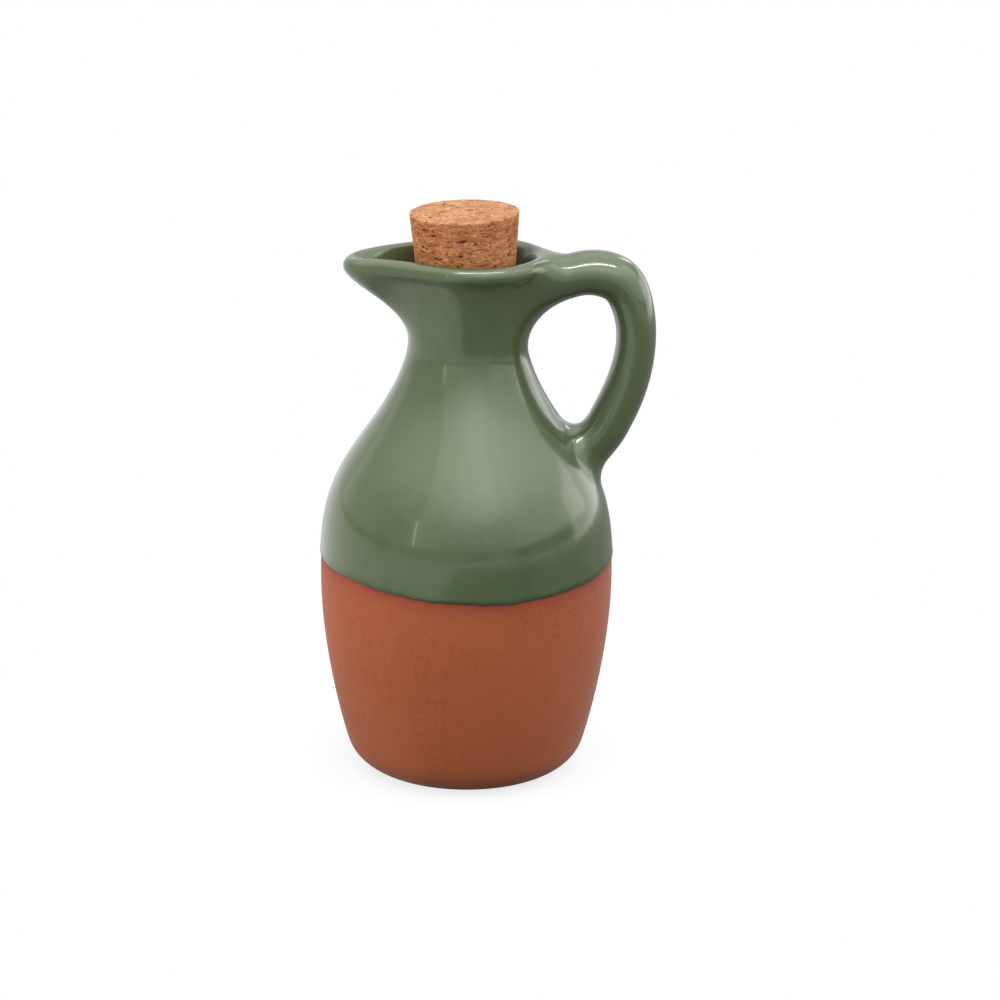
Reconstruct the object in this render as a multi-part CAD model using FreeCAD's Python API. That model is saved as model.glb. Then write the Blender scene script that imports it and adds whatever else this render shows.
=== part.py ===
import FreeCAD, Part
import math
import os
from FreeCAD import Vector

# Oil drizzler: a cast earthenware jug with a pulled spout, a rolled lip and a looped handle, closed by a
# tapered cork. Millimetres. The origin is the centre of the flat base, +Z is up, the spout points to -X
# and the handle to +X.

# ---- body, outside ----
base_radius = 22.7          # flat the jug stands on
foot_radius = 11.4          # rounding between the base and the side
foot_sweep = 67.0           # degrees of that rounding, before the side takes over
belly_radius = 41.0         # widest
belly_height = 56.0         # height of the widest ring
neck_radius = 16.4          # narrowest
rim_height = 148.5          # top of the lip
neck_drop = 24.5            # narrowest ring below the top of the lip
neck_height = rim_height - neck_drop

# How far the side keeps straight on above the foot and below the belly.
side_pull_low = 2.3
side_pull_high = 22.8

# The shoulder between belly and neck: share of the rise, share of the narrowing that is still to come.
shoulder_shape = ((0.357, 0.882), (0.507, 0.678), (0.658, 0.396), (0.809, 0.153), (0.885, 0.065))

# ---- walls ----
wall = 4.1                  # body and floor
lip_roll = 4.9              # thickness of the rounded lip

# ---- mouth ----
mouth_flare = 2.1           # how much wider the middle of the lip is than the neck, round the back
mouth_radius = neck_radius + mouth_flare
mouth_shift = 2.1           # centre of that arc, towards the handle
spout_reach = 34.4          # axis to the outside of the spout's tip
spout_tip_radius = 6.3      # middle of the lip, round the tip
spout_dip = 1.2             # how far the tip lies below the rest of the lip

# How the lip runs into the wall: degrees on the roll where the outside ends and the inside starts, and
# how far the flare keeps straight at the neck (low) and at the lip (high). The first value is for the
# round back of the mouth, the second for the tip of the spout.
outside_end = (-46.0, -16.0)
inside_start = (146.0, 118.0)
outside_pull_low = (8.0, 9.5)
outside_pull_high = (4.5, 5.0)
inside_pull_low = (3.0, 4.0)
inside_pull_high = (3.0, 9.0)
flank_reach = 4.0           # the spout starts where the lip is this much further out than at the back

# ---- handle ----
handle_overhang = 11.2      # how far the handle stands out past the belly
handle_rise = 1.2           # top of the handle above the rim
handle_root_drop = 33.0     # middle of the lower root below the narrowest ring
handle_root_height = neck_height - handle_root_drop
handle_width = 15.0
arm_thickness = 12.4        # over the top
grip_thickness = 11.0       # at the outermost point
leg_thickness = 12.0        # down to the shoulder
root_spread = 14.0          # height of the lower root where it meets the shoulder
mouth_fillet = 4.0          # where the handle runs into neck and lip
shoulder_fillet = 3.0       # where the handle runs into the shoulder

# The handle's middle line: share of the way out (from the neck for the arm, from the shoulder for the leg,
# to the grip), share of the drop from the arm to the lower root, and thickness.
arm_shape = (
    (0.276, 0.052, arm_thickness - 0.7),
    (0.474, 0.014, arm_thickness - 0.3),
    (0.655, 0.011, arm_thickness + 0.2),
    (0.833, 0.052, arm_thickness + 0.3),
    (0.954, 0.177, grip_thickness + 0.6),
)
leg_shape = (
    (0.992, 0.333, grip_thickness),
    (0.926, 0.510, grip_thickness + 0.3),
    (0.729, 0.680, leg_thickness - 0.2),
    (0.451, 0.837, leg_thickness),
)

# ---- cork ----
cork_length = 34.0
cork_taper = 5.1            # degrees, each side
cork_lean = 1.8             # degrees, the top towards the spout
cork_clearance = 0.25       # between the foot of the cork and the throat
cork_seat = 2.0             # foot of the cork above the narrowest ring
cork_edge = 0.3             # softened edges

# ---- sampling of the smooth skins ----
lip_columns = 56            # rings are sampled at this many places round the lip
foot_rows = 5
side_rows = 7
shoulder_rows = 14
flare_rows = 9
lip_rows = 9
handle_columns = 16
handle_rows = 26

UP = Vector(0, 0, 1)


def bezier(start, start_pull, end_pull, end, share):
    """Point of a cubic curve from start to end, leaving and arriving along the two pulls."""
    rest = 1.0 - share
    first = start * rest ** 3
    second = (start + start_pull) * (3.0 * rest * rest * share)
    third = (end - end_pull) * (3.0 * rest * share * share)
    return first + second + third + end * share ** 3


def blend(low, high, share):
    """Value between low and high, eased at both ends."""
    eased = share * share * (3.0 - 2.0 * share)
    return low + (high - low) * eased


# ---------------------------------------------------------------- smooth skins

def ring_parameters(rings):
    """Mean distance along the rings from the first one, so that close rings stay close."""
    values = [0.0]
    for before, after in zip(rings, rings[1:]):
        steps = [p.distanceToPoint(q) for p, q in zip(before, after)]
        values.append(values[-1] + sum(steps) / len(steps))
    return values


def skin_solid(rings):
    """Solid inside one smooth surface through closed rings of points, with a flat face on the first
    ring and on the last. All rings have the same number of points."""
    count = len(rings[0])
    round_values = [float(i) for i in range(count + 1)]
    round_curves = []
    for ring in rings:
        curve = Part.BSplineCurve()
        curve.interpolate(Points=ring, PeriodicFlag=True, Parameters=round_values)
        round_curves.append(curve)
    along_values = ring_parameters(rings)
    pole_columns = []
    for column in zip(*[curve.getPoles() for curve in round_curves]):
        curve = Part.BSplineCurve()
        curve.interpolate(Points=list(column), Parameters=along_values)
        pole_columns.append(curve)
    along = pole_columns[0]
    around = round_curves[0]
    poles = [list(row) for row in zip(*[curve.getPoles() for curve in pole_columns])]
    surface = Part.BSplineSurface()
    surface.buildFromPolesMultsKnots(
        poles, along.getMultiplicities(), around.getMultiplicities(),
        along.getKnots(), around.getKnots(), False, True, along.Degree, around.Degree)
    side = surface.toShape()
    ends = [edge for edge in side.Edges if edge.isClosed()]
    faces = [side] + [Part.Face(Part.Wire([edge])) for edge in ends]
    shell = Part.makeShell(faces)
    shell.sewShape()
    solid = Part.makeSolid(shell)
    if solid.Volume < 0:
        solid.reverse()
    return solid


# ---------------------------------------------------------------- body outline

def side_curve():
    """Outside of the body from the top of the foot rounding to the belly, as x = radius, z = height."""
    turn = math.radians(foot_sweep)
    start = Vector(base_radius + foot_radius * math.sin(turn), 0, foot_radius * (1.0 - math.cos(turn)))
    belly = Vector(belly_radius, 0, belly_height)
    along = Vector(math.cos(turn), 0, math.sin(turn))
    curve = Part.BezierCurve()
    curve.setPoles([start, start + along * side_pull_low, belly - UP * side_pull_high, belly])
    return curve


def shoulder_curve():
    """Outside of the body from the belly to the neck, as x = radius, z = height."""
    points = [Vector(belly_radius, 0, belly_height)]
    for rise, narrowing in shoulder_shape:
        radius = neck_radius + (belly_radius - neck_radius) * narrowing
        height = belly_height + (neck_height - belly_height) * rise
        points.append(Vector(radius, 0, height))
    points.append(Vector(neck_radius, 0, neck_height))
    curve = Part.BSplineCurve()
    curve.interpolate(Points=points, InitialTangent=UP, FinalTangent=UP)
    return curve


def along_curve(curve, share):
    """(point, direction) at a share of a curve's parameter range."""
    value = curve.FirstParameter + (curve.LastParameter - curve.FirstParameter) * share
    return curve.value(value), curve.tangent(value)[0]


def body_outline():
    """Pairs of (point, outward direction) from the edge of the base to the neck."""
    pairs = []
    for i in range(foot_rows):
        turn = math.radians(foot_sweep) * i / foot_rows
        out = Vector(math.sin(turn), 0, -math.cos(turn))
        centre = Vector(base_radius, 0, foot_radius)
        pairs.append((centre + out * foot_radius, out))
    for curve, rows, skip in ((side_curve(), side_rows, 0), (shoulder_curve(), shoulder_rows, 1)):
        for i in range(skip, rows + 1):
            point, along = along_curve(curve, i / rows)
            pairs.append((point, Vector(along.z, 0, -along.x)))
    return pairs


def shoulder_radius_at(height):
    """Outside radius of the shoulder at a height between belly and neck."""
    curve = shoulder_curve()
    low = 0.0
    high = 1.0
    for _ in range(40):
        middle = (low + high) / 2.0
        if along_curve(curve, middle)[0].z < height:
            low = middle
        else:
            high = middle
    return along_curve(curve, low)[0].x


# ---------------------------------------------------------------- lip

def lip_path():
    """Pairs of (point, outward direction) evenly spaced along the middle of the lip, seen from above:
    an arc round the back of the mouth, two straight flanks and a small arc round the tip."""
    tip_x = -(spout_reach - lip_roll / 2.0 - spout_tip_radius)
    apart = mouth_shift - tip_x
    wedge = math.asin((mouth_radius - spout_tip_radius) / apart)
    turn = math.pi / 2.0 + wedge
    flank = apart * math.cos(wedge)
    back_arc = mouth_radius * turn
    tip_arc = spout_tip_radius * (math.pi - turn)
    length = 2.0 * (back_arc + flank + tip_arc)
    pairs = []
    for i in range(lip_columns):
        run = length * i / lip_columns
        side = 1.0
        if run > length / 2.0:
            run = length - run
            side = -1.0
        if run <= back_arc:
            angle = run / mouth_radius
            point = Vector(mouth_shift, 0, 0) + Vector(math.cos(angle), math.sin(angle), 0) * mouth_radius
        elif run <= back_arc + flank:
            angle = turn
            out = Vector(math.cos(turn), math.sin(turn), 0)
            past = run - back_arc
            point = Vector(mouth_shift, 0, 0) + out * mouth_radius + Vector(-out.y, out.x, 0) * past
        else:
            angle = turn + (run - back_arc - flank) / spout_tip_radius
            point = Vector(tip_x, 0, 0) + Vector(math.cos(angle), math.sin(angle), 0) * spout_tip_radius
        out = Vector(math.cos(angle), math.sin(angle), 0)
        pairs.append((Vector(point.x, point.y * side, 0), Vector(out.x, out.y * side, 0)))
    return pairs


def mouth_column(centre, out):
    """Points of one column of the mouth, from just above the neck, over the lip, down to the throat."""
    reach = math.hypot(centre.x, centre.y)
    furthest = spout_reach - lip_roll / 2.0
    nearest = mouth_radius - mouth_shift + flank_reach
    share = 0.0
    if centre.x < 0:
        share = max(0.0, min(1.0, (reach - nearest) / (furthest - nearest)))
    radial = Vector(centre.x / reach, centre.y / reach, 0)
    roll = lip_roll / 2.0
    middle = centre + UP * (rim_height - roll - spout_dip * share * share)

    def on_roll(degrees):
        turn = math.radians(degrees)
        return middle + (out * math.cos(turn) + UP * math.sin(turn)) * roll

    def along_roll(degrees):
        turn = math.radians(degrees)
        return UP * math.cos(turn) - out * math.sin(turn)

    end_angle = blend(outside_end[0], outside_end[1], share)
    start_angle = blend(inside_start[0], inside_start[1], share)
    neck = radial * neck_radius + UP * neck_height
    throat = radial * (neck_radius - wall) + UP * neck_height
    column = []
    for i in range(1, flare_rows):
        column.append(bezier(
            neck, UP * blend(outside_pull_low[0], outside_pull_low[1], share),
            along_roll(end_angle) * blend(outside_pull_high[0], outside_pull_high[1], share),
            on_roll(end_angle), i / flare_rows))
    for i in range(lip_rows + 1):
        column.append(on_roll(end_angle + (start_angle - end_angle) * i / lip_rows))
    for i in range(1, flare_rows):
        column.append(bezier(
            on_roll(start_angle),
            along_roll(start_angle) * blend(inside_pull_high[0], inside_pull_high[1], share),
            UP * -blend(inside_pull_low[0], inside_pull_low[1], share), throat, i / flare_rows))
    return column


def body():
    """Hollow body of even wall with its mouth and spout, as one solid."""
    path = lip_path()
    around = [Vector(centre.x, centre.y, 0).normalize() for centre, _ in path]
    outline = body_outline()
    rings = [[radial * point.x + UP * point.z for radial in around] for point, _ in outline]
    rings += [list(ring) for ring in zip(*[mouth_column(centre, out) for centre, out in path])]
    for point, out in reversed(outline):
        inner = point - out * wall
        rings.append([radial * inner.x + UP * inner.z for radial in around])
    return skin_solid(rings)


# ---------------------------------------------------------------- handle

def handle_stations():
    """(middle, half thickness as a vector in the XZ plane) of the handle from the mouth to the shoulder.
    Both ends lie inside the wall."""
    arm_z = rim_height + handle_rise - arm_thickness / 2.0
    reach = belly_radius + handle_overhang - grip_thickness / 2.0
    root_radius = shoulder_radius_at(handle_root_height)
    drop = arm_z - handle_root_height
    middles = [(neck_radius + (reach - neck_radius) * out, arm_z - drop * down, thick)
               for out, down, thick in arm_shape]
    middles += [(root_radius + (reach - root_radius) * out, arm_z - drop * down, thick)
                for out, down, thick in leg_shape]
    curve = Part.BSplineCurve()
    curve.interpolate(Points=[Vector(x, 0, z) for x, z, _ in middles])
    thickness = Part.BSplineCurve()
    thickness.interpolate(Points=[Vector(i, thick, 0) for i, (_, _, thick) in enumerate(middles)])
    stations = []
    for i in range(handle_rows + 1):
        middle, along = along_curve(curve, i / handle_rows)
        side = Vector(-along.z, 0, along.x)
        thick = along_curve(thickness, i / handle_rows)[0].y
        stations.append((middle, side * (thick / 2.0)))
    return stations


def root_station(top, bottom):
    """Station whose section spans from top to bottom."""
    return (top + bottom) * 0.5, (top - bottom) * 0.5


def handle():
    """Solid handle of oval section with spread roots."""
    inside = wall / 2.0
    upper_root = root_station(
        Vector(mouth_shift + mouth_radius - inside, 0, rim_height - 1.3),
        Vector(neck_radius - inside - 1.0, 0, neck_height + 3.0))
    low = handle_root_height - root_spread / 2.0
    high = handle_root_height + root_spread / 2.0
    lower_root = root_station(
        Vector(shoulder_radius_at(low) - inside, 0, low),
        Vector(shoulder_radius_at(high) - inside, 0, high))
    stations = [upper_root] + handle_stations() + [lower_root]
    rings = []
    for middle, half in stations:
        ring = []
        for i in range(handle_columns):
            turn = 2.0 * math.pi * i / handle_columns
            sideways = Vector(0, handle_width / 2.0, 0)
            ring.append(middle + half * math.cos(turn) + sideways * math.sin(turn))
        rings.append(ring)
    return skin_solid(rings)


# ---------------------------------------------------------------- cork

def cork_stopper():
    """Tapered cork, its foot just inside the throat, leaning a little."""
    foot = neck_radius - wall - cork_clearance
    top = foot + cork_length * math.tan(math.radians(cork_taper))
    cork = Part.makeCone(foot, top, cork_length)
    rims = [edge for edge in cork.Edges if edge.Closed and len(edge.Vertexes) == 1]
    cork = cork.makeFillet(cork_edge, rims)
    cork.rotate(Vector(0, 0, 0), Vector(0, 1, 0), -cork_lean)
    cork.translate(UP * (neck_height + cork_seat))
    return cork


def jug():
    """Body and handle as one solid, with soft joints between them."""
    shell = body()
    joined = shell.fuse(handle()).Solids[0]
    side = max(joined.Faces, key=lambda face: face.Area)
    grip = max(joined.Faces, key=lambda face: face.BoundBox.XMax)
    seams = [edge for edge in grip.Edges if any(edge.isSame(other) for other in side.Edges)]
    upper = [edge for edge in seams if edge.BoundBox.ZMin > handle_root_height + root_spread]
    joined = joined.makeFillet(mouth_fillet, upper)
    grip = max(joined.Faces, key=lambda face: face.BoundBox.XMax)
    side = max(joined.Faces, key=lambda face: face.Area)
    seams = [edge for edge in grip.Edges if any(edge.isSame(other) for other in side.Edges)]
    lower = [edge for edge in seams if edge.BoundBox.ZMax < handle_root_height + root_spread]
    return joined.makeFillet(shoulder_fillet, lower).Solids[0]


def main():
    os.makedirs("parts", exist_ok=True)
    nodes = {"jug": jug(), "cork_stopper": cork_stopper()}
    for name, solid in nodes.items():
        print(name, "valid" if solid.isValid() else "NOT VALID", round(solid.Volume / 1000.0, 1), "cm3")
        solid.exportStep("parts/" + name + ".step")


main()
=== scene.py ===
import math

import bmesh
import bpy
import numpy as np
from mathutils import Matrix, Vector, noise
from mathutils.bvhtree import BVHTree
from mathutils.kdtree import KDTree


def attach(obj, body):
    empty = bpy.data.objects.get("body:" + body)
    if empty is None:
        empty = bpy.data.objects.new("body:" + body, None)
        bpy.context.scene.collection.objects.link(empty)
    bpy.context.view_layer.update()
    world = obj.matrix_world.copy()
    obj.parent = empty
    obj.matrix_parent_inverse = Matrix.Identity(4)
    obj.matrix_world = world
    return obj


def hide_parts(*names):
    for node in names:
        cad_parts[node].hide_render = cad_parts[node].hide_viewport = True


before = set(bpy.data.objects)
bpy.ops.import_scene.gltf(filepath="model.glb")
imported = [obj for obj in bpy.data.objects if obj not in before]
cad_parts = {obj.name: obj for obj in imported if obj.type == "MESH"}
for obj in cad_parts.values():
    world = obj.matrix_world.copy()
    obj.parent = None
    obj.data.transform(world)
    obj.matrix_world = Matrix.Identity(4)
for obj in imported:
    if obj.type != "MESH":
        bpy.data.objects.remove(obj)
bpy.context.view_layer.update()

MM = 0.001

# Sizes are in millimetres up to the section on materials. Those of the body, mouth, handle and cork are
# the solid's own. The jug stands on Z = 0, its spout points to -X and its handle to +X.

# ---- body ----
base_radius = 22.7          # flat the jug stands on
foot_radius = 11.4          # rounding between the base and the side
foot_sweep = math.radians(67.0)
belly_radius = 41.0         # widest
belly_height = 56.0
neck_radius = 16.4          # narrowest
rim_height = 148.5          # top of the lip
neck_drop = 24.5            # narrowest ring below the top of the lip
neck_height = rim_height - neck_drop
side_pull_low = 2.3         # how far the side keeps straight on above the foot
side_pull_high = 22.8       # and below the belly
wall = 4.1                  # body and floor

# The shoulder between belly and neck: share of the rise, share of the narrowing that is still to come.
shoulder_shape = ((0.357, 0.882), (0.507, 0.678), (0.658, 0.396), (0.809, 0.153), (0.885, 0.065))

# ---- mouth ----
lip_roll = 4.9              # thickness of the rounded lip
mouth_flare = 2.1           # how much wider the middle of the lip is than the neck, round the back
mouth_radius = neck_radius + mouth_flare
mouth_shift = 2.1           # centre of that arc, towards the handle
spout_reach = 34.4          # axis to the outside of the spout's tip
spout_tip_radius = 6.3      # middle of the lip, round the tip
spout_dip = 1.2             # how far the tip lies below the rest of the lip

# How the lip runs into the wall: degrees on the roll where the outside ends and the inside starts, and
# how far the flare keeps straight at the neck (low) and at the lip (high). The first value is for the
# round back of the mouth, the second for the tip of the spout.
outside_end = (-46.0, -16.0)
inside_start = (146.0, 118.0)
outside_pull_low = (8.0, 9.5)
outside_pull_high = (4.5, 5.0)
inside_pull_low = (3.0, 4.0)
inside_pull_high = (3.0, 9.0)
flank_reach = 4.0           # the spout starts where the lip is this much further out than at the back

# ---- handle ----
handle_overhang = 11.2      # how far the handle stands out past the belly
handle_rise = 1.2           # top of the handle above the rim
handle_root_drop = 33.0     # middle of the lower root below the narrowest ring
handle_root_height = neck_height - handle_root_drop
handle_width = 15.0
arm_thickness = 12.4        # over the top
grip_thickness = 11.0       # at the outermost point
leg_thickness = 12.0        # down to the shoulder
root_spread = 14.0          # height of the lower root where it meets the shoulder
arm_root_top = 1.3          # the arm's root starts this far below the rim
arm_root_foot = 3.0         # and ends this far above the narrowest ring
arm_root_sink = 1.0         # where it reaches this much further into the wall

# The handle's middle line: share of the way out (from the neck for the arm, from the shoulder for the
# leg, to the grip), share of the drop from the arm to the lower root, and thickness.
arm_shape = (
    (0.276, 0.052, arm_thickness - 0.7),
    (0.474, 0.014, arm_thickness - 0.3),
    (0.655, 0.011, arm_thickness + 0.2),
    (0.833, 0.052, arm_thickness + 0.3),
    (0.954, 0.177, grip_thickness + 0.6),
)
leg_shape = (
    (0.992, 0.333, grip_thickness),
    (0.926, 0.510, grip_thickness + 0.3),
    (0.729, 0.680, leg_thickness - 0.2),
    (0.451, 0.837, leg_thickness),
)

# ---- cork ----
cork_length = 34.0
cork_taper = math.radians(5.1)
cork_lean = math.radians(1.8)
cork_clearance = 0.25       # between its foot and the throat
cork_seat = 2.0             # its foot above the narrowest ring
cork_edge = 0.22            # how far its edges are rounded
cork_sunk = 18.0            # length of it that is down in the mouth
pit_depth = 0.50
furrow_depth = 0.28
bark_swell = 0.10           # how far the bark rises and falls between them
top_share = 0.75            # depth of all these on top, as a share of the flank's

# ---- glaze ----
glaze_line = 61.4           # mean height of the glaze's lower edge
glaze_sway = 1.45           # how far the edge rises and falls round the belly, from tilting in the dip
glaze_low_side = math.radians(-75.0)
glaze_depth = 0.24          # step from clay to glaze
glaze_thinning = 0.06       # how much thinner it is further up
glaze_bead = 0.12           # how much thicker it is just above its edge
glaze_round = 0.22          # height in which the edge rounds over
bead_height = 0.8           # middle of the thicker part, above the edge
bead_width = 0.9
clay_sink = 0.09            # clay below the solid's skin, so that the glaze comes up to it
foot_ease = 6.0             # run above the base in which the clay sinks to that
pool_reach = 1.1            # how far up the glaze is darker
halo_reach = 2.6            # how far down the clay is redder
edge_reach = 16.0           # neither shows any further from the edge

# ---- soft joints: how far each reaches from the seam between handle and body ----
joint_over_arm = 4.8
joint_beside_arm = 3.6      # this much more at the arm's sides
joint_under_arm = 3.8       # this much more under the arm
joint_over_root = 3.8
joint_under_root = 1.2      # this much more under the lower root
joint_parting = 112.0       # height between the two joints
joint_merge = 0.34          # points nearer than this become one before the skin is smoothed
fairing_rounds = (300, 500, 1400)

# ---- spacing of points ----
columns = 256               # round the body
row_step = 1.15             # up the body
edge_zone = 3.2             # this near the glaze's edge the rows are closer, at these distances from it
edge_rows = np.array([-2.4, -1.4, -0.8, -0.45, -0.22, -0.08, 0.0, 0.06, 0.14, 0.24, 0.38, 0.56, 0.78,
                      1.05, 1.4, 1.9, 2.6])
sway_reach = 9.0            # how far from the edge the rows still rise and fall with it
flare_rows = 24             # from neck to lip, outside and inside
lip_rows = 22               # round the lip
inside_row_step = 1.9       # down the inside
handle_columns = 72
handle_stations = 27        # sections that the handle is swept through
handle_row_step = 0.85
cork_columns = 320
cork_row_step = 0.3
cork_sunk_row_step = 1.0


# ---------------------------------------------------------------- curves

def bezier(start, start_pull, end_pull, end, share):
    """Points of a cubic curve from start to end, leaving and arriving along the two pulls."""
    share = np.asarray(share, float)[:, None]
    rest = 1.0 - share
    return (start * rest ** 3 + (start + start_pull) * 3.0 * rest ** 2 * share
            + (end - end_pull) * 3.0 * rest * share ** 2 + end * share ** 3)


def spline(values, knots, at, first=None, last=None):
    """Smooth curve through rows of values. The ends are straight unless their slopes are given."""
    values = np.asarray(values, float)
    count = len(values)
    step = np.diff(knots)
    rise = np.diff(values, axis=0) / step[:, None]
    matrix = np.zeros((count, count))
    right = np.zeros_like(values)
    for i in range(1, count - 1):
        matrix[i, i - 1] = 1.0 / step[i - 1]
        matrix[i, i] = 2.0 / step[i - 1] + 2.0 / step[i]
        matrix[i, i + 1] = 1.0 / step[i]
        right[i] = 3.0 * (rise[i - 1] / step[i - 1] + rise[i] / step[i])
    for row, near, slope, edge in ((0, 1, first, rise[0]), (count - 1, count - 2, last, rise[-1])):
        if slope is None:
            matrix[row, row] = 2.0
            matrix[row, near] = 1.0
            right[row] = 3.0 * edge
        else:
            matrix[row, row] = 1.0
            right[row] = slope
    slopes = np.linalg.solve(matrix, right)
    index = np.clip(np.searchsorted(knots, at, side="right") - 1, 0, count - 2)
    width = step[index][:, None]
    t = ((at - knots[index]) / step[index])[:, None]
    return ((2 * t ** 3 - 3 * t ** 2 + 1) * values[index]
            + (t ** 3 - 2 * t ** 2 + t) * width * slopes[index]
            + (3 * t ** 2 - 2 * t ** 3) * values[index + 1]
            + (t ** 3 - t ** 2) * width * slopes[index + 1])


def chords(points):
    """Distance along a run of points, from the first one."""
    return np.concatenate(([0.0], np.cumsum(np.linalg.norm(np.diff(points, axis=0), axis=1))))


def held(share):
    """Share held between 0 and 1."""
    return max(0.0, min(1.0, share))


def eased(low, high, share):
    """Value between low and high, eased at both ends."""
    return low + (high - low) * share * share * (3.0 - 2.0 * share)


def outline():
    """Outside of the body from the edge of the base to the neck: distance along it, radius, height and
    the outward direction, closely spaced."""
    turn = np.linspace(0.0, foot_sweep, 60)[:-1]
    foot = np.stack([base_radius + foot_radius * np.sin(turn), foot_radius * (1.0 - np.cos(turn))], 1)
    start = np.array([base_radius + foot_radius * math.sin(foot_sweep),
                      foot_radius * (1.0 - math.cos(foot_sweep))])
    belly = np.array([belly_radius, belly_height])
    up = np.array([0.0, 1.0])
    away = np.array([math.cos(foot_sweep), math.sin(foot_sweep)])
    side = bezier(start, away * side_pull_low, up * side_pull_high, belly, np.linspace(0, 1, 300)[:-1])
    marks = [belly]
    for rise, narrowing in shoulder_shape:
        marks.append(np.array([neck_radius + (belly_radius - neck_radius) * narrowing,
                               belly_height + (neck_height - belly_height) * rise]))
    marks.append(np.array([neck_radius, neck_height]))
    knots = chords(np.array(marks))
    shoulder = spline(marks, knots, np.linspace(0.0, knots[-1], 500), up, up)
    points = np.concatenate([foot, side, shoulder])
    run = chords(points)
    along = np.gradient(points, run, axis=0)
    along /= np.linalg.norm(along, axis=1)[:, None]
    return run, points, np.stack([along[:, 1], -along[:, 0]], axis=1)


body_run, body_line, body_out = outline()


def body_radius(height):
    """Outside radius of the body at a height up to the neck."""
    return float(np.interp(height, body_line[:, 1], body_line[:, 0]))


def lip_path():
    """Middle line of the lip seen from above, evenly spaced, and its outward direction: an arc round the
    back of the mouth, two straight flanks and a small arc round the tip."""
    tip_x = -(spout_reach - lip_roll / 2.0 - spout_tip_radius)
    apart = mouth_shift - tip_x
    wedge = math.asin((mouth_radius - spout_tip_radius) / apart)
    turn = math.pi / 2.0 + wedge
    flank = apart * math.cos(wedge)
    back_arc = mouth_radius * turn
    length = 2.0 * (back_arc + flank + spout_tip_radius * (math.pi - turn))
    centres = []
    outs = []
    for i in range(columns):
        run = length * i / columns
        side = 1.0
        if run > length / 2.0:
            run = length - run
            side = -1.0
        if run <= back_arc + flank:
            angle = min(run / mouth_radius, turn)
            past = max(0.0, run - back_arc)
            x = mouth_shift + mouth_radius * math.cos(angle) - math.sin(angle) * past
            y = mouth_radius * math.sin(angle) + math.cos(angle) * past
        else:
            angle = turn + (run - back_arc - flank) / spout_tip_radius
            x = tip_x + spout_tip_radius * math.cos(angle)
            y = spout_tip_radius * math.sin(angle)
        centres.append((x, y * side, 0.0))
        outs.append((math.cos(angle), math.sin(angle) * side, 0.0))
    return np.array(centres), np.array(outs)


def mouth_column(centre, out):
    """One column of the mouth, from just above the neck, over the lip, down to the throat."""
    reach = math.hypot(centre[0], centre[1])
    furthest = spout_reach - lip_roll / 2.0
    nearest = mouth_radius - mouth_shift + flank_reach
    share = held((reach - nearest) / (furthest - nearest)) if centre[0] < 0 else 0.0
    radial = np.array([centre[0] / reach, centre[1] / reach, 0.0])
    up = np.array([0.0, 0.0, 1.0])
    roll = lip_roll / 2.0
    middle = centre + up * (rim_height - roll - spout_dip * share * share)

    def on_roll(turn):
        turn = np.asarray(turn)[..., None]
        return middle + (out * np.cos(turn) + up * np.sin(turn)) * roll

    def along_roll(turn):
        return up * math.cos(turn) - out * math.sin(turn)

    end_turn = math.radians(eased(*outside_end, share))
    start_turn = math.radians(eased(*inside_start, share))
    inside = np.arange(1, flare_rows) / flare_rows
    neck = up * neck_height
    outer = bezier(radial * neck_radius + neck, up * eased(*outside_pull_low, share),
                   along_roll(end_turn) * eased(*outside_pull_high, share), on_roll(end_turn), inside)
    lip = on_roll(np.linspace(end_turn, start_turn, lip_rows + 1))
    inner = bezier(on_roll(start_turn), along_roll(start_turn) * eased(*inside_pull_high, share),
                   up * -eased(*inside_pull_low, share), radial * (neck_radius - wall) + neck, inside)
    return np.concatenate([outer, lip, inner])


# ---------------------------------------------------------------- glaze edge

def edge_height(angle):
    """Height of the glaze's lower edge at an angle round the body: tilted, and wavy in three sizes."""
    height = glaze_line - glaze_sway * math.cos(2.0 * (angle - glaze_low_side))
    spot = Vector((math.cos(angle) * 2.2, math.sin(angle) * 2.2, 0.3))
    height += 0.34 * noise.noise(spot * 1.9)
    height += 0.26 * noise.noise(spot * 6.5 + Vector((5.0, 0.0, 0.0)))
    return height + 0.10 * noise.noise(spot * 17.0)


def glaze_relief(above, angle):
    """How far the skin stands out from the solid's, at a distance above the glaze's edge."""
    if above < 0.0:
        return -clay_sink
    rise = min(1.0, above / glaze_round)
    rise = math.sqrt(1.0 - (1.0 - rise) ** 2)       # a quarter of a circle
    thick = 0.6 + 0.4 * noise.noise(Vector((math.cos(angle) * 9.0, math.sin(angle) * 9.0, 4.0)))
    bead = glaze_bead * thick * math.exp(-((above - bead_height) / bead_width) ** 2)
    settle = glaze_depth - clay_sink - glaze_thinning * min(1.0, above / 12.0)
    return -clay_sink + (settle + clay_sink + bead) * rise


# ---------------------------------------------------------------- body and handle meshes

def grid_mesh(name, rings, first_centre, last_centre):
    """Closed tube through rings of points, in millimetres, filled round a centre at each end."""
    count = len(rings[0])
    points = np.concatenate(rings)
    faces = []
    for low in range(0, len(points) - count, count):
        high = low + count
        for here in range(count):
            beside = (here + 1) % count
            faces.append((low + here, low + beside, high + beside, high + here))
    last = len(points) - count
    points = np.concatenate([points, [first_centre, last_centre]])
    for here in range(count):
        beside = (here + 1) % count
        faces.append((len(points) - 2, beside, here))
        faces.append((len(points) - 1, last + here, last + beside))
    mesh = bpy.data.meshes.new(name)
    mesh.from_pydata((points * MM).tolist(), [], faces)
    mesh.update()
    return mesh


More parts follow.
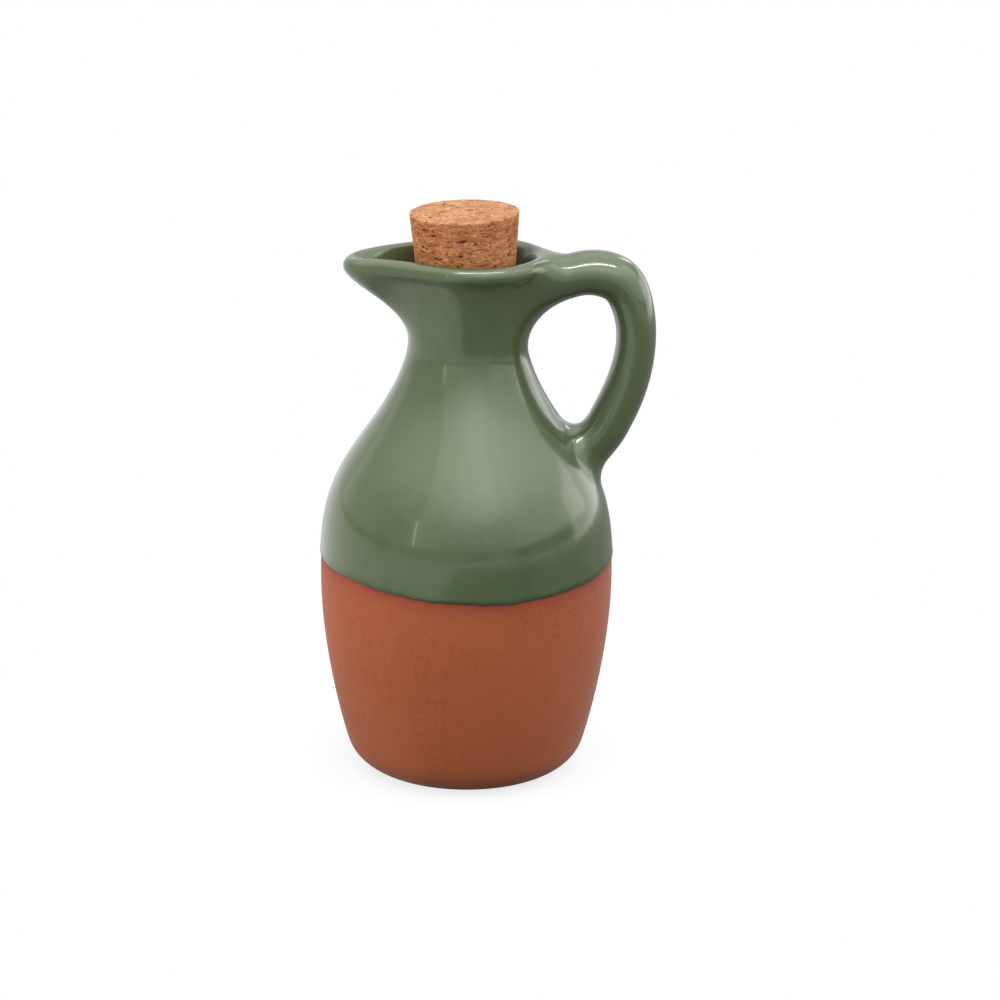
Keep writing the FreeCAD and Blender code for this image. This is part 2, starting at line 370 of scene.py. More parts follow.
def on_body(distance):
    """Radius, height and outward direction at a distance along the body's outside."""
    radius = np.interp(distance, body_run, body_line[:, 0])
    height = np.interp(distance, body_run, body_line[:, 1])
    out = np.stack([np.interp(distance, body_run, body_out[:, axis]) for axis in (0, 1)], 1)
    return radius, height, out / np.linalg.norm(out, axis=1)[:, None]


def body_mesh():
    """Hollow body with mouth and spout, the glaze's edge standing out from the clay."""
    centres, outs = lip_path()
    radial = centres / np.linalg.norm(centres, axis=1)[:, None]
    angles = np.arctan2(radial[:, 1], radial[:, 0])
    edge_run = np.interp([edge_height(angle) for angle in angles], body_line[:, 1], body_run)
    mean_edge = float(np.interp(glaze_line, body_line[:, 1], body_run))
    neck_run = body_run[-1]
    steps = np.arange(0.0, neck_run - 0.4, row_step)
    steps = steps[(steps < mean_edge - edge_zone) | (steps > mean_edge + edge_zone)]
    steps = np.sort(np.concatenate([steps, mean_edge + edge_rows, [neck_run]]))

    rings = [radial * base_radius * share for share in (0.3, 0.6, 0.85)]
    for step in steps:          # up the outside
        above = step - mean_edge
        pull = math.exp(-(above / sway_reach) ** 2)
        radius, height, out = on_body(step + (edge_run - mean_edge) * pull)
        lift = np.array([glaze_relief(above, angle) for angle in angles])
        lift *= min(1.0, step / foot_ease)
        ring = radial * (radius + out[:, 0] * lift)[:, None]
        ring[:, 2] = np.maximum(0.0, height + out[:, 1] * lift)
        rings.append(ring)
    mouth = [mouth_column(centre, out) for centre, out in zip(centres, outs)]
    mouth = [np.array(ring) for ring in zip(*mouth)]
    top_lift = glaze_depth - clay_sink - glaze_thinning
    for ring in mouth[:6]:      # the lift runs out over the foot of the flare
        ring += radial * top_lift * 0.5
    rings += mouth
    for step in np.arange(neck_run, 0.0, -inside_row_step):     # down the inside
        radius, height, out = on_body(np.full(columns, step))
        ring = radial * (radius - out[:, 0] * wall)[:, None]
        ring[:, 2] = height - out[:, 1] * wall
        rings.append(ring)
    for share in (0.7, 0.4, 0.15):
        ring = radial * base_radius * share
        ring[:, 2] = wall
        rings.append(ring)
    return grid_mesh("body", rings, (0.0, 0.0, 0.0), (0.0, 0.0, wall))


def handle_sections():
    """Middle of each of the handle's sections, from the neck to the shoulder, and the step from there to
    its outer side. Both are X and Z in the plane of spout and handle."""
    arm_z = rim_height + handle_rise - arm_thickness / 2.0
    reach = belly_radius + handle_overhang - grip_thickness / 2.0
    root_radius = body_radius(handle_root_height)
    drop = arm_z - handle_root_height
    marks = [(neck_radius + (reach - neck_radius) * out, arm_z - drop * down, thick)
             for out, down, thick in arm_shape]
    marks += [(root_radius + (reach - root_radius) * out, arm_z - drop * down, thick)
              for out, down, thick in leg_shape]
    marks = np.array(marks)
    knots = chords(marks[:, :2])
    at = np.linspace(0.0, knots[-1], handle_stations)
    middles = spline(marks[:, :2], knots, at)
    order = np.arange(len(marks), dtype=float)
    thick = spline(marks[:, 2:], order, np.interp(at, knots, order))[:, 0]
    fine = 0.01
    ahead = spline(marks[:, :2], knots, np.minimum(at + fine, knots[-1]))
    behind = spline(marks[:, :2], knots, np.maximum(at - fine, 0.0))
    along = (ahead - behind) / np.linalg.norm(ahead - behind, axis=1)[:, None]
    return middles, np.stack([-along[:, 1], along[:, 0]], axis=1) * thick[:, None] / 2.0


def handle_roots():
    """Outer and inner end of the handle's first and last section, in the middle of the wall."""
    inside = wall / 2.0
    low = handle_root_height - root_spread / 2.0
    high = handle_root_height + root_spread / 2.0
    upper = (np.array([mouth_shift + mouth_radius - inside, rim_height - arm_root_top]),
             np.array([neck_radius - inside - arm_root_sink, neck_height + arm_root_foot]))
    lower = (np.array([body_radius(low) - inside, low]), np.array([body_radius(high) - inside, high]))
    return upper, lower


def handle_mesh():
    """Looped handle of oval section, its ends inside the wall."""
    middles, halves = handle_sections()
    upper, lower = handle_roots()
    middles = np.concatenate([[(upper[0] + upper[1]) / 2.0], middles, [(lower[0] + lower[1]) / 2.0]])
    halves = np.concatenate([[(upper[0] - upper[1]) / 2.0], halves, [(lower[0] - lower[1]) / 2.0]])
    turn = 2.0 * np.pi * np.arange(handle_columns) / handle_columns
    sections = []
    for middle, half in zip(middles, halves):
        ring = np.zeros((handle_columns, 3))
        ring[:, 0] = middle[0] + half[0] * np.cos(turn)
        ring[:, 2] = middle[1] + half[1] * np.cos(turn)
        ring[:, 1] = handle_width / 2.0 * np.sin(turn)
        sections.append(ring)
    sections = np.array(sections)
    gaps = np.linalg.norm(np.diff(sections, axis=0), axis=2).mean(axis=1)
    knots = np.concatenate(([0.0], np.cumsum(gaps)))
    at = np.linspace(0.0, knots[-1], int(knots[-1] / handle_row_step))
    flat = spline(sections.reshape(len(sections), -1), knots, at)
    rings = list(flat.reshape(len(at), handle_columns, 3))
    return grid_mesh("handle", rings, rings[0].mean(axis=0), rings[-1].mean(axis=0))


def placed(name, data):
    """New object in the scene."""
    thing = bpy.data.objects.new(name, data)
    bpy.context.scene.collection.objects.link(thing)
    return thing


def joined(first, second):
    """Union of two closed meshes."""
    objects = [placed(mesh.name, mesh) for mesh in (first, second)]
    union = objects[0].modifiers.new("union", "BOOLEAN")
    union.operation = "UNION"
    union.solver = "EXACT"
    union.object = objects[1]
    bpy.context.view_layer.update()
    solved = objects[0].evaluated_get(bpy.context.evaluated_depsgraph_get())
    result = bpy.data.meshes.new_from_object(solved)
    for thing in objects:
        bpy.data.objects.remove(thing)
    return result


# ---------------------------------------------------------------- soft joints

def fillet_width(point):
    """How far the soft joint reaches from the seam, in millimetres."""
    z = point.z / MM
    if z > joint_parting:
        under = held((rim_height - 6.0 - z) / 8.0)          # 0 at the top of the arm, 1 below it
        beside = held((abs(point.y) / MM - 3.0) / 4.0)      # 0 in the middle of the arm, 1 at its sides
        return joint_over_arm + joint_under_arm * under + joint_beside_arm * beside * (1.0 - under)
    below = held((handle_root_height - z) / 6.0)
    return joint_over_root + joint_under_root * below


def within_mouth(point):
    """True inward of the lip's crest, where the soft joint leaves the skin as it is."""
    inward = math.hypot(point.x / MM - mouth_shift, point.y / MM) < mouth_radius + 0.2
    return inward and point.z / MM > rim_height - 5.0


def cotangent_edges(points, triangles):
    """Both ends and the weight of each edge of a patch, and the area round each point."""
    size = len(points)
    area = np.zeros(size)
    starts = []
    ends = []
    weights = []
    for a, b, c in ((0, 1, 2), (1, 2, 0), (2, 0, 1)):
        i = triangles[:, a]
        j = triangles[:, b]
        k = triangles[:, c]
        u = points[i] - points[k]
        v = points[j] - points[k]
        cross = np.linalg.norm(np.cross(u, v), axis=1)
        weight = np.clip((u * v).sum(axis=1) / np.maximum(cross, 1e-9), 0.02, 8.0) / 2.0
        starts += [i, j]
        ends += [j, i]
        weights += [weight, weight]
        area += np.bincount(k, cross / 6.0, size)
    return np.concatenate(starts), np.concatenate(ends), np.concatenate(weights), np.maximum(area, 1e-3)


def smoothest(points, triangles, loose, rounds):
    """Points with the loose ones moved to where the patch bends least, by conjugate gradients."""
    first, second, weight, area = cotangent_edges(points, triangles)
    size = len(points)

    def spread(values):
        change = weight[:, None] * (values[second] - values[first])
        return np.stack([np.bincount(first, change[:, axis], size) for axis in range(3)], axis=1)

    def energy(values):
        return spread(spread(values) / area[:, None])

    total = np.bincount(first, weight, size)
    scale = total ** 2 / area + np.bincount(first, weight ** 2 / area[second], size)
    ease = np.where(loose, 1.0 / scale, 0.0)[:, None]
    result = points.copy()
    rest = -energy(result) * loose[:, None]
    step = ease * rest
    direction = step.copy()
    strength = (rest * step).sum()
    for _ in range(rounds):
        push = energy(direction) * loose[:, None]
        far = strength / max((direction * push).sum(), 1e-30)
        result += far * direction
        rest -= far * push
        step = ease * rest
        again = (rest * step).sum()
        if again < 1e-12:
            break
        direction = step + direction * (again / strength)
        strength = again
    return result


def in_order(elements, chosen):
    """The chosen points, edges or faces in the mesh's own order, so that each run gives the same skin."""
    return [element for element in elements if element in chosen]


def fair(bm, free):
    """Moves the free points onto the smoothest skin that meets the rest without a crease. The patch takes
    in two more rings of points, which stay and give the skin its slope."""
    ring = set(free)
    for _ in range(2):
        ring |= {e.other_vert(v) for v in list(ring) for e in v.link_edges}
    patch = in_order(bm.verts, ring)
    index = {v: i for i, v in enumerate(patch)}
    faces = {f for v in patch for f in v.link_faces if all(w in index for w in f.verts)}
    triangles = []
    for f in in_order(bm.faces, faces):
        loop = [index[v] for v in f.verts]
        for i in range(1, len(loop) - 1):
            triangles.append((loop[0], loop[i], loop[i + 1]))
    triangles = np.array(triangles)
    points = np.array([v.co[:] for v in patch]) / MM
    loose = np.array([v in free for v in patch])
    for rounds in fairing_rounds:
        points = smoothest(points, triangles, loose, rounds)
    for v, point in zip(patch, points):
        if v in free:
            v.co = Vector(point) * MM


def skin_tree(mesh):
    """Search tree of a mesh's faces."""
    bm = bmesh.new()
    bm.from_mesh(mesh)
    tree = BVHTree.FromBMesh(bm)
    bm.free()
    return tree


def joint_band(bm, trees, extra):
    """Points on the handle's side that lie within the soft joints' reach and are linked to a seam. A seam
    is where the skins of body and handle meet."""
    points = [v for v in bm.verts if v.co.x > 0.005 and v.co.z > 0.07]
    seam = [v.co.copy() for v in points
            if v.co.x > 0.01 and all(tree.find_nearest(v.co)[3] < 0.02 * MM for tree in trees)]
    seam_tree = KDTree(len(seam))
    for i, spot in enumerate(seam):
        seam_tree.insert(spot, i)
    seam_tree.balance()
    gaps = {v: seam_tree.find(v.co)[2] for v in points}
    near = {v for v in points if gaps[v] < (fillet_width(v.co) + extra) * MM and not within_mouth(v.co)}
    reached = {v for v in near if gaps[v] < 1.2 * MM}
    front = set(reached)
    while front:
        front = {e.other_vert(v) for v in front for e in v.link_edges} & near - reached
        reached |= front
    return reached


def soften_joints(mesh, first, second):
    """Turns the creases between body and handle into the soft joints of wiped clay."""
    trees = [skin_tree(part) for part in (first, second)]
    bm = bmesh.new()
    bm.from_mesh(mesh)

    # even triangles round the joints
    band = joint_band(bm, trees, 1.0)
    bmesh.ops.remove_doubles(bm, verts=in_order(bm.verts, band), dist=joint_merge * MM)
    band = joint_band(bm, trees, 1.0)
    faces = {f for v in band for f in v.link_faces}
    bmesh.ops.triangulate(bm, faces=in_order(bm.faces, faces))
    faces = {f for v in band for f in v.link_faces}
    edges = {e for f in faces for e in f.edges if all(g in faces for g in e.link_faces)}
    bmesh.ops.beautify_fill(bm, faces=in_order(bm.faces, faces), edges=in_order(bm.edges, edges))

    # a rough smoothing first, then each joint by itself
    free = joint_band(bm, trees, 0.0)
    for _ in range(12):
        moved = {}
        for v in in_order(bm.verts, free):
            around = [e.other_vert(v).co for e in v.link_edges]
            moved[v] = v.co.lerp(sum(around, Vector()) / len(around), 0.5)
        for v, spot in moved.items():
            v.co = spot
    arm = {v for v in free if v.co.z > joint_parting * MM}
    fair(bm, arm)
    fair(bm, free - arm)

    # no slivers are left, so that the skin is closed
    bmesh.ops.dissolve_degenerate(bm, edges=bm.edges[:], dist=0.02 * MM)
    bmesh.ops.recalc_face_normals(bm, faces=bm.faces)
    bm.to_mesh(mesh)
    bm.free()


# ---------------------------------------------------------------- jug

body_part = body_mesh()
handle_part = handle_mesh()
jug_mesh = joined(body_part, handle_part)
soften_joints(jug_mesh, body_part, handle_part)
jug_mesh.name = "jug_skin"
jug = placed("jug_skin", jug_mesh)


def is_clay(centre):
    """True where a face is bare clay: outside, below the glaze's edge."""
    z = centre.z / MM
    if z > glaze_line + 2.0 * glaze_sway:
        return False
    inside = math.hypot(centre.x, centre.y) / MM < body_radius(z) - wall / 2.0
    if inside and z > wall / 2.0:
        return False
    return z < edge_height(math.atan2(centre.y, centre.x))


# ---------------------------------------------------------------- material helpers, in metres

def emptied(owner, output_kind):
    """Node tree of a material or the world with its output alone, and the output's Surface socket."""
    owner.use_nodes = True
    tree = owner.node_tree
    tree.nodes.clear()
    return tree, tree.nodes.new(output_kind).inputs["Surface"]


def add(tree, kind, inputs=(), **settings):
    """New node with its settings and inputs; a socket as an input is linked."""
    node = tree.nodes.new(kind)
    for key, value in settings.items():
        setattr(node, key, value)
    for key, value in inputs:
        socket = node.inputs[key]
        if isinstance(value, bpy.types.NodeSocket):
            tree.links.new(value, socket)
        else:
            socket.default_value = value
    return node


def principled(name, inputs):
    """New material with its node tree and its Principled shader, which has these inputs."""
    material = bpy.data.materials.new(name)
    tree, surface = emptied(material, "ShaderNodeOutputMaterial")
    shader = add(tree, "ShaderNodeBsdfPrincipled", inputs)
    tree.links.new(shader.outputs[0], surface)
    return material, tree, shader


def place_socket(tree, scale=(1.0, 1.0, 1.0)):
    """Position on the object, in metres, stretched by a scale."""
    where = add(tree, "ShaderNodeTexCoord").outputs["Object"]
    return add(tree, "ShaderNodeMapping", [("Vector", where), ("Scale", scale)]).outputs[0]


def noted(tree, name):
    """Value that was stored on the mesh's points under a name."""
    return add(tree, "ShaderNodeAttribute", attribute_name=name).outputs["Fac"]


def noise_socket(tree, vector, scale, detail=3.0, roughness=0.5, distortion=0.0):
    """Smooth random value, 0 to 1."""
    return add(tree, "ShaderNodeTexNoise", [
        ("Vector", vector), ("Scale", scale), ("Detail", detail), ("Roughness", roughness),
        ("Distortion", distortion)]).outputs["Fac"]


def ranged(tree, value, low, high, to_low=0.0, to_high=1.0):
    """Value mapped smoothly from one range to another, held at its ends."""
    return add(tree, "ShaderNodeMapRange", [
        ("Value", value), ("From Min", low), ("From Max", high), ("To Min", to_low), ("To Max", to_high)],
        interpolation_type="SMOOTHSTEP").outputs[0]


def mixed(tree, factor, low, high):
    """Colour between low and high."""
    return add(tree, "ShaderNodeMix", [(0, factor), (6, low), (7, high)], data_type="RGBA").outputs[2]


def maths(tree, operation, first, second):
    """One sum, product or the like of two values."""
    return add(tree, "ShaderNodeMath", [(0, first), (1, second)], operation=operation).outputs[0]


def bumped(tree, height, distance, strength, normal=None):
    """Normal bent by a height."""
    inputs = [("Height", height), ("Distance", distance), ("Strength", strength)]
    if normal is not None:
        inputs.append(("Normal", normal))
    return add(tree, "ShaderNodeBump", inputs).outputs[0]


def from_srgb(red, green, blue):
    """Linear colour of an 8-bit one, opaque."""
    return (*(((v / 255.0 + 0.055) / 1.055) ** 2.4 for v in (red, green, blue)), 1.0)


# ---------------------------------------------------------------- glaze and clay

glaze_dark = from_srgb(62, 75, 47)
glaze_pale = from_srgb(72, 84, 56)
glaze_grain = from_srgb(70, 82, 55)
glaze_pool = from_srgb(26, 42, 18)
glaze_speck = from_srgb(44, 50, 34)
glaze_shine = (0.86, 1.0, 0.74, 1.0)
clay_dark = from_srgb(142, 70, 39)
clay_pale = from_srgb(151, 78, 45)
clay_grain = from_srgb(152, 82, 51)
clay_halo = from_srgb(120, 53, 42)


def glaze_material():
    """Glossy green glaze: cloudy where it is thinner or thicker, dark where it pools at its edge."""
    material, tree, shader = principled("glaze", [
        ("IOR", 1.5), ("Specular Tint", glaze_shine), ("Coat Weight", 0.5), ("Coat Roughness", 0.09)])
    place = place_socket(tree)
    clouds = noise_socket(tree, place, 22.0, 4.0, 0.55, 0.4)
    fine = noise_socket(tree, place, 160.0, 4.0, 0.6)
    colour = mixed(tree, ranged(tree, clouds, 0.30, 0.70), glaze_dark, glaze_pale)
    colour = mixed(tree, ranged(tree, fine, 0.35, 0.75), colour, glaze_grain)
    colour = mixed(tree, noted(tree, "pool"), colour, glaze_pool)
    spots = add(tree, "ShaderNodeTexVoronoi", [("Vector", place), ("Scale", 210.0)]).outputs["Distance"]
    rare = noise_socket(tree, place, 60.0, 2.0)
    speck = maths(tree, "MULTIPLY", ranged(tree, spots, 0.13, 0.06), ranged(tree, rare, 0.62, 0.68))
    colour = mixed(tree, maths(tree, "MULTIPLY", speck, 0.5), colour, glaze_speck)
    tree.links.new(colour, shader.inputs["Base Color"])
    tree.links.new(ranged(tree, fine, 0.3, 0.7, 0.20, 0.27), shader.inputs["Roughness"])
    waves = noise_socket(tree, place, 55.0, 2.0, 0.45)
    normal = bumped(tree, waves, 0.0006, 0.5)
    peel = noise_socket(tree, place, 420.0, 2.0, 0.5)
    normal = bumped(tree, peel, 0.00003, 0.5, normal)
    tree.links.new(normal, shader.inputs["Normal"])
    return material


def clay_material():
    """Matte fired clay: mottled, redder and darker next to the glaze."""
    material, tree, shader = principled("clay", [
        ("Roughness", 0.78), ("Specular IOR Level", 0.2), ("Sheen Weight", 0.14),
        ("Sheen Roughness", 0.45)])
    place = place_socket(tree)
    clouds = noise_socket(tree, place, 30.0, 5.0, 0.6, 0.3)
    grain = noise_socket(tree, place, 900.0, 4.0, 0.7)
    colour = mixed(tree, ranged(tree, clouds, 0.3, 0.7), clay_dark, clay_pale)
    colour = mixed(tree, ranged(tree, grain, 0.35, 0.7), colour, clay_grain)
    colour = mixed(tree, noted(tree, "halo"), colour, clay_halo)
    tree.links.new(colour, shader.inputs["Base Color"])
    normal = bumped(tree, grain, 0.00012, 0.5)
    turning = noise_socket(tree, place_socket(tree, (4.0, 4.0, 320.0)), 1.0, 3.0, 0.6)
    normal = bumped(tree, turning, 0.0001, 0.3, normal)
    tree.links.new(normal, shader.inputs["Normal"])
    return material


def dress_jug(mesh):
    """Gives the jug its two finishes and notes how close each point is to the glaze's edge."""
    mesh.materials.clear()
    mesh.materials.append(glaze_material())
    mesh.materials.append(clay_material())
    for polygon in mesh.polygons:
        polygon.use_smooth = True
        polygon.material_index = 1 if is_clay(polygon.center) else 0
    pool = mesh.attributes.new("pool", "FLOAT", "POINT")
    halo = mesh.attributes.new("halo", "FLOAT", "POINT")
    for i, vertex in enumerate(mesh.vertices):
        z = vertex.co.z / MM
        if abs(z - glaze_line) > edge_reach:
            continue
        above = z - edge_height(math.atan2(vertex.co.y, vertex.co.x))
        if above >= -0.01:
            pool.data[i].value = 0.95 * math.exp(-(max(above, 0.0) / pool_reach) ** 1.5)
        halo.data[i].value = 0.85 * math.exp(-abs(above) / halo_reach)


dress_jug(jug_mesh)
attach(jug, "root")
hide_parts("jug")


# ---------------------------------------------------------------- cork

cork_flank_dark = from_srgb(160, 92, 54)
cork_flank_pale = from_srgb(202, 140, 92)
cork_top_dark = from_srgb(164, 109, 70)
cork_top_pale = from_srgb(192, 143, 102)
cork_fleck = from_srgb(112, 54, 30)
cork_scale = from_srgb(224, 172, 124)
cork_grain = from_srgb(150, 92, 58)
cork_pit = from_srgb(74, 36, 20)


def cork_mesh():
    """Smooth tapered cork, standing on its foot."""
    foot = neck_radius - wall - cork_clearance
    top = foot + cork_length * math.tan(cork_taper)
    edge = cork_edge
    profile = [(foot * share, 0.0) for share in (0.25, 0.5, 0.75)]
    profile += [(foot - edge, 0.0), (foot - edge * 0.3, edge * 0.3), (foot, edge)]
    sunk = np.arange(cork_sunk_row_step, cork_sunk, cork_sunk_row_step)
    for height in np.concatenate([sunk, np.arange(cork_sunk, cork_length - 0.5, cork_row_step)]):
        profile.append((foot + (top - foot) * height / cork_length, height))
    profile += [(top - 0.02, cork_length - edge * 1.2), (top - edge * 0.25, cork_length - edge * 0.35)]
    profile += [(top - edge, cork_length)]
    inward = np.arange(top - edge - cork_row_step, 0.4, -cork_row_step)
    profile += [(radius, cork_length) for radius in inward]
    turn = 2.0 * np.pi * np.arange(cork_columns) / cork_columns
    rings = []
    for radius, height in profile:
        level = np.full(cork_columns, height)
        rings.append(np.stack([radius * np.cos(turn), radius * np.sin(turn), level], 1))
    return grid_mesh("cork_bark", rings, (0.0, 0.0, 0.0), (0.0, 0.0, cork_length))


def pits(spot, size, presence):
    """Depth, 0 to 1, of round pits of one size, which are only there where their presence is above 0."""
    if presence <= 0.0:
        return 0.0
    return max(0.0, 1.0 - noise.voronoi(spot)[0][0] / size) ** 0.6


def bark(point):
    """Pits and furrows at a point of the cork, each 0 to 1, how much the point is on top, and how far the
    bark is sunk there. The pattern is stretched round the flank."""
    top = held((point.z - cork_length + 0.6) / 0.5)
    warp = Vector((noise.noise(point * 0.5), noise.noise(point * 0.5 + Vector((7.0, 3.0, 0.0))), 0.0))
    bent = point + warp * 1.2
    flat = Vector((bent.x, bent.y, bent.z * (1.0 + 1.3 * (1.0 - top))))
    big = pits(flat * 0.27 + Vector((3.1, 0.0, 7.7)), 0.26,
               noise.noise(point * 0.23 + Vector((0.0, 8.0, 2.0))) + 0.1)
    small = pits(flat * 0.62 + Vector((9.0, 4.0, 1.0)), 0.24, noise.noise(point * 0.4) + 0.12)
    pit = min(1.0, big + 0.8 * small)
    line = Vector((bent.x * 0.30, bent.y * 0.30, bent.z * (0.30 + 0.75 * (1.0 - top))))
    furrow = max(0.0, 1.0 - abs(noise.noise(line)) / 0.05) * held(0.35 + 2.5 * noise.noise(point * 0.17))
    sink = pit_depth * pit + furrow_depth * furrow + bark_swell * noise.noise(flat * 0.9)
    return pit, furrow, top, sink * (top_share if top > 0.5 else 1.0)


def carve_cork(mesh):
    """Sinks pits and furrows into the bark and notes how deep each point lies and which are on top."""
    depth = mesh.attributes.new("pit", "FLOAT", "POINT")
    crown = mesh.attributes.new("crown", "FLOAT", "POINT")
    normals = [vertex.normal.copy() for vertex in mesh.vertices]
    for i, vertex in enumerate(mesh.vertices):
        pit, furrow, top, sink = bark(vertex.co / MM)
        crown.data[i].value = top
        depth.data[i].value = min(1.0, pit + 0.7 * furrow)
        vertex.co -= normals[i] * (sink * MM)


def seat_cork(mesh):
    """Leans the cork toward the spout and sets it into the throat."""
    for vertex in mesh.vertices:
        x = vertex.co.x * math.cos(cork_lean) - vertex.co.z * math.sin(cork_lean)
        z = vertex.co.x * math.sin(cork_lean) + vertex.co.z * math.cos(cork_lean)
        vertex.co = (x, vertex.co.y, z + (neck_height + cork_seat) * MM)


def cork_material():
    """Cork bark: tan on top, redder down the side, with dark pits, red-brown flecks and pale scales."""
    material, tree, shader = principled("cork", [("Roughness", 0.85), ("Specular IOR Level", 0.25)])
    place = place_socket(tree)
    streaky = place_socket(tree, (1.0, 1.0, 2.6))
    clouds = ranged(tree, noise_socket(tree, streaky, 150.0, 5.0, 0.65, 1.2), 0.32, 0.66)
    grain = noise_socket(tree, place, 1500.0, 3.0, 0.7)
    flank = mixed(tree, clouds, cork_flank_dark, cork_flank_pale)
    face = mixed(tree, clouds, cork_top_dark, cork_top_pale)
    colour = mixed(tree, noted(tree, "crown"), flank, face)
    fleck = noise_socket(tree, streaky, 420.0, 4.0, 0.7, 1.5)
    scale = noise_socket(tree, streaky, 380.0, 4.0, 0.65, 1.0)
    for value, low, high, most, tone in (
            (fleck, 0.54, 0.64, 0.85, cork_fleck),
            (scale, 0.58, 0.68, 0.7, cork_scale),
            (grain, 0.45, 0.8, 0.5, cork_grain)):
        share = maths(tree, "MULTIPLY", ranged(tree, value, low, high), most)
        colour = mixed(tree, share, colour, tone)
    colour = mixed(tree, ranged(tree, noted(tree, "pit"), 0.12, 0.75), colour, cork_pit)
    tree.links.new(colour, shader.inputs["Base Color"])
    relief = maths(tree, "SUBTRACT", scale, fleck)
    normal = bumped(tree, relief, 0.0009, 0.8)
    normal = bumped(tree, grain, 0.0002, 0.6, normal)
    tree.links.new(normal, shader.inputs["Normal"])
    return material


bark_mesh = cork_mesh()
carve_cork(bark_mesh)
seat_cork(bark_mesh)
bark_mesh.materials.append(cork_material())
for polygon in bark_mesh.polygons:
    polygon.use_smooth = True
cork = placed("cork_bark", bark_mesh)
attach(cork, "root")
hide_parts("cork_stopper")


# ---------------------------------------------------------------- floor, light and camera, in metres

pure_white = (1.0, 1.0, 1.0, 1.0)
floor_grey = (0.16, 0.16, 0.16, 1.0)
lamp_aim = Vector((0.0, 0.0, 0.085))    # middle of the jug, which the lamps face


def floor():
    """Pale table top that turns to plain white away from the jug and keeps the shadow near it."""
    bpy.ops.mesh.primitive_plane_add(size=12.0)
    top = bpy.context.object
    top.name = "table_top"
    material = bpy.data.materials.new("table_top")
    tree, surface = emptied(material, "ShaderNodeOutputMaterial")
    diffuse = add(tree, "ShaderNodeBsdfDiffuse", [("Color", floor_grey)])
    white = add(tree, "ShaderNodeEmission", [("Strength", 1.0)])
    glow = add(tree, "ShaderNodeEmission", [("Strength", 0.78)])

    # the camera sees the shadow near the jug and plain white further out
    near = add(tree, "ShaderNodeAddShader", [(0, diffuse.outputs[0]), (1, glow.outputs[0])])
    where = add(tree, "ShaderNodeTexCoord")
    far = add(tree, "ShaderNodeVectorMath", [(0, where.outputs["Object"])], operation="LENGTH")
    far = far.outputs["Value"]
    seen = add(tree, "ShaderNodeMixShader", [
        (0, ranged(tree, far, 0.05, 0.16)), (1, near.outputs[0]), (2, white.outputs[0])])

    # the glaze mirrors plain white far away and beyond the spout, and the grey floor elsewhere
    across = add(tree, "ShaderNodeSeparateXYZ", [("Vector", where.outputs["Object"])]).outputs["X"]
    lit = maths(tree, "MAXIMUM", ranged(tree, far, 0.80, 1.40), ranged(tree, across, -0.07, -0.11))
    path = add(tree, "ShaderNodeLightPath")
    mirrored = maths(tree, "MULTIPLY", path.outputs["Is Glossy Ray"], lit)
    other = add(tree, "ShaderNodeMixShader", [
        (0, mirrored), (1, diffuse.outputs[0]), (2, white.outputs[0])])
    direct = maths(tree, "MAXIMUM", path.outputs["Is Camera Ray"], path.outputs["Is Transmission Ray"])
    both = add(tree, "ShaderNodeMixShader", [(0, direct), (1, other.outputs[0]), (2, seen.outputs[0])])
    tree.links.new(both.outputs[0], surface)
    top.data.materials.append(material)


def surroundings():
    """White room for the camera; for the jug it is bright above, softer behind and dim elsewhere."""
    world = bpy.data.worlds.new("room")
    bpy.context.scene.world = world
    tree, surface = emptied(world, "ShaderNodeOutputWorld")
    where = add(tree, "ShaderNodeTexCoord")
    way = add(tree, "ShaderNodeSeparateXYZ", [("Vector", where.outputs["Generated"])])
    above = ranged(tree, way.outputs["Z"], 0.30, 0.95, 0.0, 2.0)
    behind = ranged(tree, way.outputs["Y"], 0.25, 0.90, 0.0, 0.80)
    level = maths(tree, "ADD", maths(tree, "MAXIMUM", above, behind), 0.08)
    lighting = add(tree, "ShaderNodeBackground", [("Color", pure_white), ("Strength", level)])
    white = add(tree, "ShaderNodeBackground", [("Color", pure_white), ("Strength", 1.0)])
    path = add(tree, "ShaderNodeLightPath")
    both = add(tree, "ShaderNodeMixShader", [
        (0, path.outputs["Is Camera Ray"]), (1, lighting.outputs[0]), (2, white.outputs[0])])
    tree.links.new(both.outputs[0], surface)


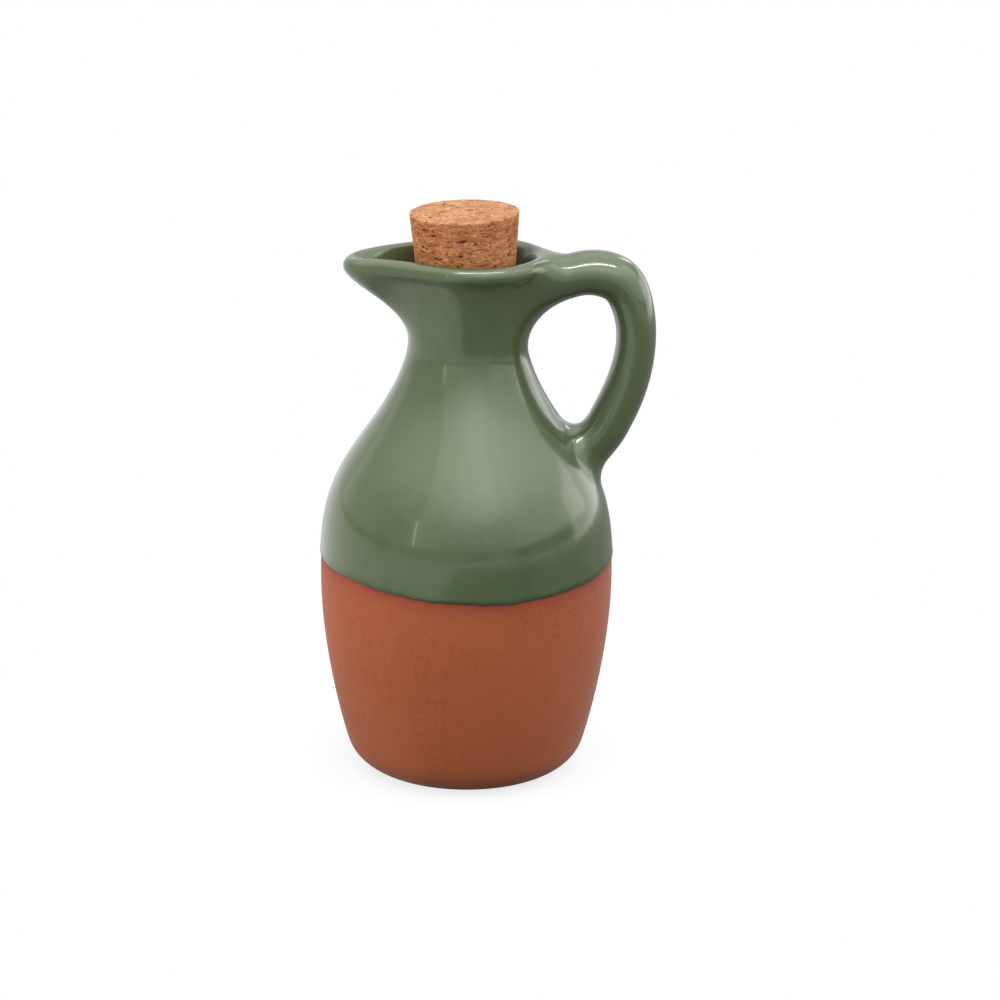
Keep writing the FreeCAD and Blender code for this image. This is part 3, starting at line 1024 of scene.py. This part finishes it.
def softbox(name, bearing, elevation, away, width, height, level, shape="RECTANGLE", gives="both",
            upright=False):
    """Soft lamp that faces the jug: bearing from the front, to the right, and elevation in degrees; its
    distance and sides in metres; how bright its surface looks, where 1 is white; whether it gives
    light, shine or both; whether it stands upright like a wall."""
    lamp = bpy.data.lights.new(name, "AREA")
    lamp.shape = shape
    lamp.size = width
    lamp.size_y = height
    area = width * height * (math.pi / 4.0 if shape == "ELLIPSE" else 1.0)
    lamp.energy = level * math.pi * area
    turn = math.radians(bearing)
    rise = math.radians(elevation)
    aim = Vector((math.sin(turn) * math.cos(rise), -math.cos(turn) * math.cos(rise), math.sin(rise)))
    thing = placed(name, lamp)
    thing.location = lamp_aim + aim * away
    if upright:
        aim.z = 0.0
    thing.rotation_euler = aim.to_track_quat("Z", "Y").to_euler()
    thing.visible_camera = False
    thing.visible_glossy = gives != "light"
    thing.visible_diffuse = gives != "shine"


floor()
surroundings()
# name, then bearing, elevation, away, width, height and level
softbox("front_panel", 0.0, 39.3, 1.2, 1.56, 1.35, 1.05, upright=True)
softbox("front_low", 0.0, 1.5, 1.0, 1.70, 0.14, 0.40, upright=True)
softbox("front_middle", 14.0, 38.0, 1.08, 1.10, 0.80, 0.35, "ELLIPSE")
softbox("front_glow", 18.0, 42.0, 1.05, 0.62, 0.66, 0.40, "ELLIPSE")
softbox("front_core", 20.0, 43.0, 1.04, 0.28, 0.42, 0.35, "ELLIPSE")
softbox("front_spark", 8.0, 72.0, 1.0, 0.90, 0.06, 42.0, gives="shine")
softbox("left_panel", -85.0, 34.0, 1.15, 1.86, 1.20, 0.50, upright=True)
softbox("left_fill", -82.0, 8.0, 0.95, 0.80, 0.50, 5.2, gives="light")
softbox("left_strip", -42.0, 14.0, 0.95, 0.014, 0.30, 13.0)
softbox("right_front", 78.0, 39.3, 1.2, 1.45, 1.35, 1.50, upright=True)
softbox("right_patch", 150.0, 30.0, 1.0, 0.12, 0.30, 4.0)
softbox("right_panel", 118.0, 8.0, 1.05, 0.95, 0.55, 1.4)

camera_place = (0.0, -1.025, 0.3987)
look_down = 17.41           # degrees below level
camera_roll = 0.0055        # radians, the photograph's slight lean
view = bpy.data.cameras.new("camera")
view.sensor_width = 36.0
view.lens = 138.06
view.shift_x = 0.0333
view.clip_start = 0.05
camera = placed("camera", view)
camera.location = camera_place
tilt = Matrix.Rotation(math.radians(90.0 - look_down), 3, "X")
camera.rotation_euler = (tilt @ Matrix.Rotation(camera_roll, 3, "Z")).to_euler()
bpy.context.scene.camera = camera
bpy.context.scene.view_settings.view_transform = "Standard"
